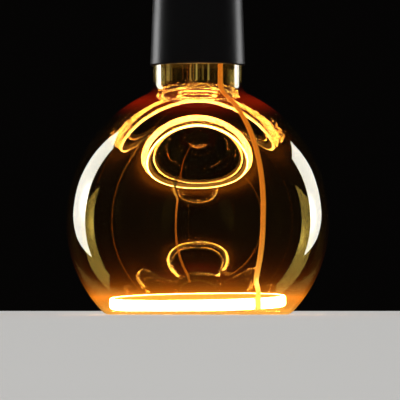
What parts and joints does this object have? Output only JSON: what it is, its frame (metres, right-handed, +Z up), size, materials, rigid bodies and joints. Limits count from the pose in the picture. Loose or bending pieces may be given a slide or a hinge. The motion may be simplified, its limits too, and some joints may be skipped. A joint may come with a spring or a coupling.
{
  "type": "led globe bulb",
  "caption": "Amber glass globe bulb with a flat bottom, a glowing ring inside, a matte black base housing and a screw cap.",
  "frame": {"origin": "centre of the flat glass face that the bulb stands on", "axes": "+Z up the bulb's axis, from the flat face to the cap; -Y towards the picture's viewer, +X to the viewer's right"},
  "size_m": [0.125, 0.125, 0.1868],
  "materials": {
    "amber_glass": "clear, amber tinted, blown",
    "lit_phosphor": "phosphor silicone, lit warm white",
    "strip_ceramic": "white coated laminate",
    "chip_resin": "yellow resin",
    "tinned_metal": "tinned",
    "clear_silicone": "cloudy silicone",
    "amber_film": "amber film",
    "copper": "copper",
    "cement": "cured cement",
    "dark_plastic": "moulded, dark brown black",
    "black_housing": "moulded, matte black",
    "board_laminate": "green solder mask",
    "black_resin": "moulded resin",
    "capacitor_sleeve": "shrunk sleeve",
    "ferrite": "sintered",
    "red_resin": "dipped resin",
    "resistor_body": "lacquered",
    "brown_wire": "wire sleeve",
    "blue_wire": "wire sleeve",
    "nickel_sheet": "nickel plated, satin",
    "black_glass": "fired black glass",
    "contact_metal": "stamped brass"
  },
  "bodies": {
    "root": {"globe_glass": "amber_glass", "outer_phosphor_coat": "lit_phosphor", "inner_phosphor_coat": "lit_phosphor", "ring_strip": "strip_ceramic", "led_chips": "chip_resin", "ring_tabs": "tinned_metal", "ring_cuff": "clear_silicone", "feed_base_film": "amber_film", "feed_tracks": "copper", "feed_cover_film": "amber_film", "neck_cement": "cement", "neck_plug": "dark_plastic", "base_housing": "black_housing", "driver_board": "board_laminate", "bridge_rectifier": "black_resin", "smoothing_capacitor": "capacitor_sleeve", "choke_core": "ferrite", "choke_winding": "copper", "driver_chip": "black_resin", "film_capacitor": "red_resin", "fuse_resistor": "resistor_body", "chip_resistors": "black_resin", "live_wire": "brown_wire", "neutral_wire": "blue_wire", "cap_shell": "nickel_sheet", "cap_insulator": "black_glass", "centre_contact": "contact_metal"}
  },
  "joints": []
}
